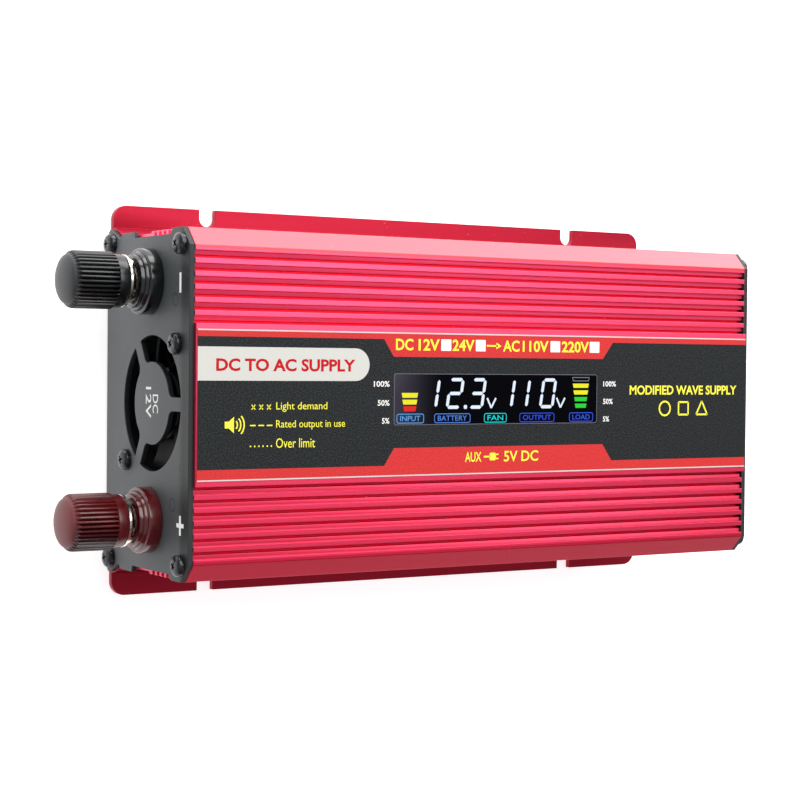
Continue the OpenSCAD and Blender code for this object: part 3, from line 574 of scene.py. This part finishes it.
white_ink = ink("white_ink", paint(240, 238, 232), 0.45, 0.0)
ticks = [box_shape(x0, x1, 14.95, 18.2, 0.2, 2) for x0, x1 in
         ((-19.0, -15.6), (-7.3, -3.9), (18.9, 22.4), (33.2, 36.8))]
shares = [("100%", -40.9, -35.8, 5.65), ("50%", -39.6, -35.8, 0.43), ("5%", -38.2, -35.8, -4.52),
          ("100%", 38.4, 43.15, 5.8), ("50%", 38.4, 42.0, 0.6), ("5%", 38.4, 40.7, -4.6)]
white_words = [(words, x0, x1, y - 0.8, y + 0.8, 0.02) for words, x0, x1, y in shares]
piece("white_print", join(facing_up(lettering(white_words)), flat(ticks, 2)), "case", "label", white_ink)

# ---- Display ----
# A dark liquid crystal module behind a clear window that lies flush in the label. It shows slanted seven
# segment figures, two stacks of level bars and a row of outlined words, all lit from behind.
glass, shader, where = finish("display_glass", Roughness=0.06, Specular_IOR_Level=0.06)
along = where.axis(0)
# Painted reflection: the glass is painted paler grey towards −X, fading out by −18 mm.
painted_reflection = 1 - along.above(-38 * mm, -18 * mm)
wire(shader, where, Base_Color=painted_reflection.blend(paint(1, 1, 4), paint(56, 53, 65)))
wire(shader, where, Normal=where.noise(90, 1).bump(0.05, 0.1 * mm))
pane = merged("display_window")
sink(pane, window_high.z, 3)
piece("window_pane", pane, "case", "window", glass, ["display_window"], 30)

bezel = ink("bezel_grey", paint(92, 90, 100), 0.4, 0.0)
inner = box_shape(wx0 + 0.35, wx1 - 0.35, wy0 + 0.35, wy1 - 0.35, 0.6, 6)
outer = box_shape(wx0 + 0.1, wx1 - 0.1, wy0 + 0.1, wy1 - 0.1, 0.8, 6)


def frame_shape(outside, inside, layer):
    """The strip between two outlines with the same number of points."""
    made = bmesh.new()
    z = (label_top - layer * INK) * mm
    rings = [[made.verts.new((x * mm, y * mm, z)) for x, y in ring] for ring in (outside, inside)]
    count = len(outside)
    for i in range(count):
        j = (i + 1) % count
        made.faces.new((rings[0][i], rings[0][j], rings[1][j], rings[1][i]))
    return facing_up(made)


piece("window_line", frame_shape(outer, inner, 2), "case", "window", bezel)


def glow(name, colour, strength):
    """A lit colour of the display."""
    material, shader, where = finish(name, Base_Color=(0.01, 0.01, 0.01, 1), Roughness=0.4,
                                     Specular_IOR_Level=0.05)
    shade = where.noise(300, 1)
    wire(shader, where, Emission_Color=shade.blend(colour, tuple(c * 0.86 for c in colour[:3]) + (1.0,)))
    wire(shader, where, Emission_Strength=strength)
    return material


SLANT = math.tan(math.radians(9))
LIT = {"0": "abcdef", "1": "bc", "2": "abged", "3": "abgcd"}


def figure(digit, left, right, bottom, top):
    """The lit segments of one slanted figure: flat hexagons with a thin gap between neighbours."""
    bar = 0.95
    half = bar / 2
    middle = (bottom + top) / 2
    lean = SLANT * (top - bottom)
    x0, x1 = left + half, right - lean - half
    y0, y2 = bottom + half, top - half
    ends = {"a": (x0, y2, x1, y2), "b": (x1, y2, x1, middle), "c": (x1, middle, x1, y0),
            "d": (x0, y0, x1, y0), "e": (x0, middle, x0, y0), "f": (x0, y2, x0, middle),
            "g": (x0, middle, x1, middle)}
    shapes = []
    for name in LIT[digit]:
        start, end = Vector(ends[name][:2]), Vector(ends[name][2:])
        way = (end - start).normalized()
        across = Vector((-way.y, way.x)) * half
        gap = way * 0.12
        points = [start + gap, start + gap + way * half + across, end - gap - way * half + across,
                  end - gap, end - gap - way * half - across, start + gap + way * half - across]
        shapes.append([(p.x + (p.y - bottom) * SLANT, p.y) for p in points])
    return shapes


digits = [("1", -25.0, -18.9), ("2", -17.4, -10.9), ("3", -9.7, -3.3), ("1", 0.7, 6.9), ("1", 6.0, 12.2),
          ("0", 14.9, 21.5)]
lit = [shape for digit, x0, x1 in digits for shape in figure(digit, x0, x1, -1.34, 7.38)]
lit += [box_shape(-11.2, -10.1, -1.34, -0.25, 0.3, 3)]
for x in (-3.2, 21.3):
    lit += [stroke(x, 1.7, x + 1.4, -1.1, 0.55), stroke(x + 1.4, -1.1, x + 3.0, 1.7, 0.55)]
figures_white = glow("figures_white", paint(226, 238, 255), 1.15)
piece("figures", flat(lit, 1), "case", "display", figures_white)


def level(middle, y, widest, tall):
    """A bar of a level stack, narrower the lower it stands."""
    half = widest / 2
    return [(middle - half, y + tall / 2), (middle - half + 0.3, y - tall / 2),
            (middle + half - 0.3, y - tall / 2), (middle + half, y + tall / 2)]


bars = {"yellow": [level(-29.2, 2.5, 5.4, 1.35), level(-29.2, 0.63, 4.9, 1.35),
                   level(30.1, 5.24, 5.9, 1.25), level(30.1, 3.27, 5.4, 1.25)],
        "red": [level(-29.2, -1.24, 4.3, 1.4)],
        "green": [level(30.1, 1.3, 4.8, 1.25), level(30.1, -0.64, 4.3, 1.25)]}
tints = {"yellow": paint(250, 245, 36), "red": paint(240, 28, 22), "green": paint(30, 220, 50)}
for tint, shapes in bars.items():
    piece(tint + "_bars", flat(shapes, 1), "case", "display", glow("lit_" + tint, tints[tint], 1.0))

empty = level(30.1, 7.15, 6.4, 1.25)
hollow = [(30.1 + (x - 30.1) * 0.92, 7.15 + (y - 7.15) * 0.6) for x, y in empty]
unlit = glow("lit_grey", paint(150, 150, 160), 0.7)
piece("empty_bar", frame_shape(empty, hollow, 1), "case", "display", unlit)

tags = [("INPUT", -33.5, -24.5, paint(95, 170, 240)), ("BATTERY", -21.1, -8.9, paint(85, 135, 230)),
        ("FAN", -4.25, 3.6, paint(0, 230, 230)), ("OUTPUT", 8.1, 20.55, paint(40, 80, 235)),
        ("LOAD", 25.9, 34.7, paint(50, 90, 245))]
for words, x0, x1, tint in tags:
    outside = box_shape(x0, x1, -5.3, -2.6, 0.7, 4)
    inside = box_shape(x0 + 0.22, x1 - 0.22, -5.08, -2.82, 0.5, 4)
    tag = join(frame_shape(outside, inside, 1),
               facing_up(lettering([(words, x0 + 1.2, x1 - 1.2, -4.65, -3.2, 0.006)], 1)))
    piece("tag_" + words.lower(), tag, "case", "display", glow("lit_" + words.lower(), tint, 1.0))

# ---- Print on the DC plate ----
# White ink on the powder coat: the voltage on the disc of the grille and the sign beside each post.
plate_white = ink("plate_white", paint(236, 236, 232), 0.5, 0.0)


def on_dc_plate(made):
    """Stands a flat print up against the DC plate, reading from outside it."""
    for v in made.verts:
        across, up = v.co.x, v.co.y
        v.co = (dc_face - 0.02 * mm, -across, up)
    return made


plate_words = lettering([("DC", -2.4, 2.6, 32.65, 36.15, 0.01), ("12V", -4.4, 4.0, 28.15, 31.65, 0.01)], 0)
long, half = 2.6, 0.55
plus = [(31.7 + x, 50.3 + y) for x, y in
        ((-long, -half), (-half, -half), (-half, -2.2), (half, -2.2), (half, -half), (long, -half),
         (long, half), (half, half), (half, 2.2), (-half, 2.2), (-half, half), (-long, half))]
signs = flat([stroke(-34.65, 49.6, -29.35, 49.6, 1.2), plus], 0)
piece("plate_print", on_dc_plate(join(plate_words, signs)), "case", "end_plate", plate_white)

# ---- Binding posts ----
# Two moulded posts, black for negative and maroon for positive. A collar sits on the plate. A fluted knob
# with a smooth domed end runs on a nickel plated stud, with a toothed nickel washer between them. The
# starts and ends are distances in mm from the middle of the case.
FLUTES = 38
COLLAR_END = 103
GRIP_START = 107.5
DOME_START = 118.6
post_low, post_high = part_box("negative_stud")
post_y, post_z = abs(post_low.y + post_high.y) / 2, (post_low.z + post_high.z) / 2
grip_low, grip_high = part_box("negative_knob")
RIDGE = (grip_high.y - grip_low.y) / 2 - 0.12 * mm
VALLEY = RIDGE - 0.45 * mm


def moulded(name, dark, light, dust_and_sheen_colour):
    """A glossy phenolic moulding, paler where dust lies on it. Its domed end is painted paler as a painted
    sheen, and its flute valleys darker as painted shade.
    """
    material, shader, where = finish(name, Coat_Roughness=0.1)
    cloud = where.noise(160, 4)
    scuffs = where.noise(1500, 2, (0.15, 1, 1))
    colour = cloud.above(0.3, 0.75).blend(dark, light)
    outward = 0 - where.axis(0)
    dome = outward.above(DOME_START * mm, (DOME_START + 2) * mm)
    seated = 1 - outward.above(COLLAR_END * mm, (COLLAR_END + 1) * mm)
    aside = abs(where.axis(1)) - post_y
    above = where.axis(2) - post_z
    valley = (outward > GRIP_START * mm) * (1 - (aside * aside + above * above).above(VALLEY ** 2, RIDGE ** 2))
    # Scuffs carry real dust; the domed end is painted paler too, a painted sheen.
    dust_and_sheen = scuffs.above(0.6, 0.85) * 0.2 + dome * 0.35
    # Painted shade: the flute valleys are painted darker, except on the dome.
    colour = (valley * (1 - dome)).blend(colour, tuple(c * 0.3 for c in dark[:3]) + (1.0,))
    wire(shader, where, Base_Color=dust_and_sheen.blend(colour, dust_and_sheen_colour))
    wire(shader, where, Roughness=cloud * 0.12 + dome * 0.25 + (1 - seated) * 0.08 + 0.14)
    wire(shader, where, Coat_Weight=seated * 0.35 + 0.1)
    wire(shader, where, Normal=(scuffs + cloud).bump(0.12, 0.04 * mm))
    return material


nickel, shader, where = finish("nickel", Metallic=1.0)
plating = where.noise(700, 3)
wire(shader, where, Base_Color=plating.blend(paint(214, 206, 190), paint(240, 234, 222)))
wire(shader, where, Roughness=plating * 0.15 + 0.12)

POSTS = {"negative": moulded("black_moulding", paint(9, 11, 13), paint(18, 20, 22), paint(78, 80, 82)),
         "positive": moulded("maroon_moulding", paint(78, 10, 14), paint(100, 20, 24), paint(134, 64, 66))}


def along_post(made, axis, start):
    """Lays a lathed shape along -X from start, on a post's axis."""
    turn = Matrix.Rotation(math.radians(-90), 4, "Y")
    bmesh.ops.transform(made, verts=made.verts, matrix=Matrix.Translation((start, axis.y, axis.z)) @ turn)
    return made


for side, plastic in POSTS.items():
    stud_low, stud_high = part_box(side + "_stud")
    axis = (stud_low + stud_high) / 2
    base_out = (dc_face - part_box(side + "_base")[0].x) / mm
    base = [(-1.5, 3.05), (-1.5, 4.5), (0, 4.5), (0, 8.75), (0.2, 8.95), (3.4, 8.95), (3.65, 8.88),
            (3.85, 8.7), (3.9, 8.5), (3.9, 8.1), (4.5, 8.0), (4.8, 7.85), (4.8, 7.3), (base_out - 0.5, 7.2),
            (base_out - 0.2, 7.1), (base_out - 0.05, 6.85), (base_out, 6.6), (base_out, 5.6),
            (base_out - 0.5, 5.4), (base_out - 0.5, 4.7), (base_out, 4.5), (base_out, 3.05), (-1.5, 3.05)]
    piece(side + "_collar", along_post(lathe(base, 96), axis, dc_face), "case",
          ("black" if side == "negative" else "maroon") + "_plastic", plastic, [side + "_base"], 40)

    knob_low, knob_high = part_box(side + "_knob")
    front = knob_high.x
    length = (knob_high.x - knob_low.x) / mm
    full = (knob_high.y - knob_low.y) / 2 / mm
    neck = 1.3
    smooth_end = neck + 3.0
    flute_end = smooth_end + 11.6
    outline = [(0, 3.05), (0, 4.5), (0.3, 4.5), (0.3, 4.0), (neck, 4.0), (neck, full - 1.0),
               (neck + 0.25, full - 0.6), (neck + 0.5, full - 0.5),
               (smooth_end - 0.05, full - 0.5), (smooth_end, full - 0.1),
               (smooth_end + 0.3, full), (flute_end - 0.9, full), (flute_end - 0.2, full - 0.18),
               (flute_end + 0.15, full - 0.5), (flute_end + 0.35, full - 0.95)]
    dome_r = full - 1.0
    outline += [(flute_end + 0.4 + (length - flute_end - 0.4) * math.sin(math.radians(a)),
                 dome_r * math.cos(math.radians(a))) for a in range(6, 90, 7)]
    outline += [(length, 0)]
    inside = [(length - 6.0, 0), (length - 6.0, 3.05)]
    knob = lathe(inside + outline, FLUTES * 6)
    for v in knob.verts:
        along_z, out = v.co.z / mm, Vector((v.co.x, v.co.y)).length / mm
        if smooth_end < along_z < flute_end + 0.2 and out > full - 0.6:
            turn = math.atan2(v.co.y, v.co.x) * FLUTES
            shallow = 0.85 * (0.5 + 0.5 * math.cos(turn)) ** 2.2
            if along_z > flute_end - 0.4:
                shallow *= 0.6
            v.co.x *= 1 - shallow / out
            v.co.y *= 1 - shallow / out
    piece(side + "_grip", along_post(knob, axis, front), side + "_knob",
          ("black" if side == "negative" else "maroon") + "_plastic", plastic, [side + "_knob"], 50)

    washer_low, washer_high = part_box(side + "_washer")
    washer_r = (washer_high.y - washer_low.y) / 2 / mm
    thick = 0.7
    teeth = (washer_high.x - washer_low.x) / mm - thick
    ring = [(0, 4.05), (0, washer_r - 0.9), (0, washer_r - 0.25), (0.12, washer_r), (thick, washer_r),
            (thick + 0.12, washer_r - 0.2), (thick, washer_r - 0.5), (thick, 4.05), (0, 4.05)]
    washer = lathe([(-along_z, radius) for along_z, radius in ring], 96)
    for v in washer.verts:
        out = Vector((v.co.x, v.co.y)).length / mm
        turn = math.degrees(math.atan2(v.co.y, v.co.x)) % 90
        if out > washer_r - 0.3 and v.co.z < -thick * mm * 0.9:
            v.co.z -= max(0.0, 1 - abs(turn - 45) / 11) * (teeth - 0.12) * mm
    piece(side + "_tooth_washer", along_post(washer, axis, washer_low.x), side + "_washer", "nickel", nickel,
          [side + "_washer"], 40)

    stud_long = (stud_high.x - stud_low.x) / mm
    turns = int(stud_long)
    thread = [(0, 0), (0, 2.5)]
    thread += [(0.5 + i * 0.5, 2.98 if i % 2 else 2.6) for i in range(2 * turns - 1)]
    thread += [(stud_long, 2.6), (stud_long, 0)]
    piece(side + "_thread", along_post(lathe(thread, 48), axis, stud_high.x), "case", "nickel", nickel,
          [side + "_stud"], 30)

# ---- Fan ----
# A 40 mm fan behind the grille: a square moulded frame, a hub with seven curved blades, and a yellow lead.
fan_black, shader, where = finish("fan_black", Specular_IOR_Level=0.3)
mould = where.noise(900, 3)
wire(shader, where, Base_Color=mould.blend(paint(10, 11, 12), paint(17, 18, 19)))
wire(shader, where, Roughness=mould * 0.15 + 0.35)
wire(shader, where, Normal=mould.bump(0.15, 0.04 * mm))
piece("fan_housing", merged("fan_frame"), "case", "dark_plastic", fan_black, ["fan_frame"], 30, 0.15)

hub_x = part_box("fan_rotor")[0].x
BLADES = 7
hub = lathe([(5.6, 9.2), (5.6, 9.6), (5.2, 10.0), (1.0, 10.0), (0.4, 9.7), (0, 9.0), (0, 0)], 64)
hub_cup = lathe([(5.6, 9.2), (1.0, 9.2), (1.0, 1.0), (6.6, 1.0), (6.6, 0)], 64)
for face in hub_cup.faces:
    face.normal_flip()
rotor = join(hub, hub_cup)
for number in range(BLADES):
    blade = bmesh.new()
    bmesh.ops.create_grid(blade, x_segments=6, y_segments=8, size=0.5)
    for v in blade.verts:
        out = 9.6 + (v.co.x + 0.5) * 8.8
        sweep = (v.co.x + 0.5) * 0.28 + v.co.y * 0.62
        rise = 2.9 - v.co.y * 4.4 - 1.2 * v.co.y ** 2
        v.co = (out * math.cos(sweep) * mm, out * math.sin(sweep) * mm, rise * mm)
    bmesh.ops.recalc_face_normals(blade, faces=blade.faces)
    bmesh.ops.solidify(blade, geom=blade.faces, thickness=0.7 * mm)
    about = Matrix.Rotation(math.tau * number / BLADES, 3, "Z")
    bmesh.ops.rotate(blade, verts=blade.verts, cent=(0, 0, 0), matrix=about)
    rotor = join(rotor, blade)
bmesh.ops.remove_doubles(rotor, verts=rotor.verts, dist=1e-6)
turn = Matrix.Translation((hub_x, fan_y, fan_z)) @ Matrix.Rotation(math.radians(90), 4, "Y")
bmesh.ops.transform(rotor, verts=rotor.verts, matrix=turn)
piece("fan_blades", rotor, "fan_rotor", "dark_plastic", fan_black, ["fan_rotor"], 35)


# ---- Other mouldings, metals and boards ----
# What the case hides, and the sockets and switch of the AC end. Each keeps its built shape in its own finish.
def plain(name, dark, light, roughness, metallic=0.0, coat=0.0, scale=400):
    """A finish with a fine mottle between two near colours."""
    material, shader, where = finish(name, Metallic=metallic, Coat_Weight=coat, Coat_Roughness=0.2)
    mottle = where.noise(scale, 3)
    wire(shader, where, Base_Color=mottle.above(0.3, 0.7).blend(dark, light))
    wire(shader, where, Roughness=mottle * 0.12 + roughness)
    wire(shader, where, Normal=where.noise(scale * 3, 2).bump(0.12, 0.04 * mm))
    return material


finishes = {
    "nickel": nickel, "dark_plastic": fan_black, "screw_black": black_zinc,
    "display": glass, "window": glass, "label": label_red, "shell": anodised, "base": anodised,
    "end_plate": powder, "black_plastic": POSTS["negative"], "maroon_plastic": POSTS["positive"],
    "board": plain("solder_mask", paint(18, 82, 42), paint(28, 104, 56), 0.35, coat=0.3),
    "white_plastic": plain("white_moulding", paint(224, 223, 216), paint(238, 237, 231), 0.4),
    "brass": plain("brass", paint(196, 156, 78), paint(220, 182, 104), 0.22, 1.0),
    "steel": plain("steel", paint(176, 178, 180), paint(202, 204, 206), 0.25, 1.0),
    "cable_black": plain("black_cable", paint(18, 18, 19), paint(28, 28, 29), 0.45),
    "cable_red": plain("red_cable", paint(168, 20, 22), paint(188, 30, 32), 0.45),
    "cable_yellow": plain("yellow_cable", paint(222, 180, 30), paint(238, 200, 52), 0.45),
    "cable_blue": plain("blue_cable", paint(30, 58, 150), paint(42, 74, 172), 0.45),
    "copper": plain("enamelled_copper", paint(158, 82, 38), paint(190, 106, 54), 0.25, 0.9, 0.4, 1500),
    "ferrite": plain("ferrite", paint(46, 47, 50), paint(62, 63, 66), 0.55),
    "tape": plain("winding_tape", paint(206, 168, 40), paint(226, 192, 66), 0.35, coat=0.2),
    "sleeve": plain("capacitor_sleeve", paint(22, 26, 74), paint(32, 38, 94), 0.3, coat=0.3),
    "aluminium_bar": plain("bare_aluminium", paint(186, 188, 192), paint(208, 210, 213), 0.3, 1.0),
    "silicone": plain("silicone_strip", paint(204, 204, 196), paint(220, 220, 212), 0.6),
    "red_plastic": plain("red_rocker", paint(158, 18, 20), paint(178, 28, 30), 0.28, coat=0.3),
    "green_lens": plain("green_lens", paint(46, 176, 74), paint(70, 200, 96), 0.12, coat=0.6),
    "red_lens": plain("red_lens", paint(200, 34, 34), paint(222, 52, 50), 0.12, coat=0.6),
    "green_plastic": plain("green_fuse", paint(40, 140, 58), paint(54, 160, 74), 0.25, coat=0.3),
}
for part in frame["record"]["subparts"]:
    item = frame["nodes"][part["node"]]
    for place in item.material_slots:
        place.material = finishes[part["material_slot"]]

for node, body in (("ac_socket_face", "case"), ("switch_frame", "case"), ("switch_rocker", "switch_rocker"),
                   ("usb_shell", "case")):
    slot = next(p["material_slot"] for p in frame["record"]["subparts"] if p["node"] == node)
    piece(node + "_moulded", merged(node), body, slot, finishes[slot], [node], 30, 0.18)
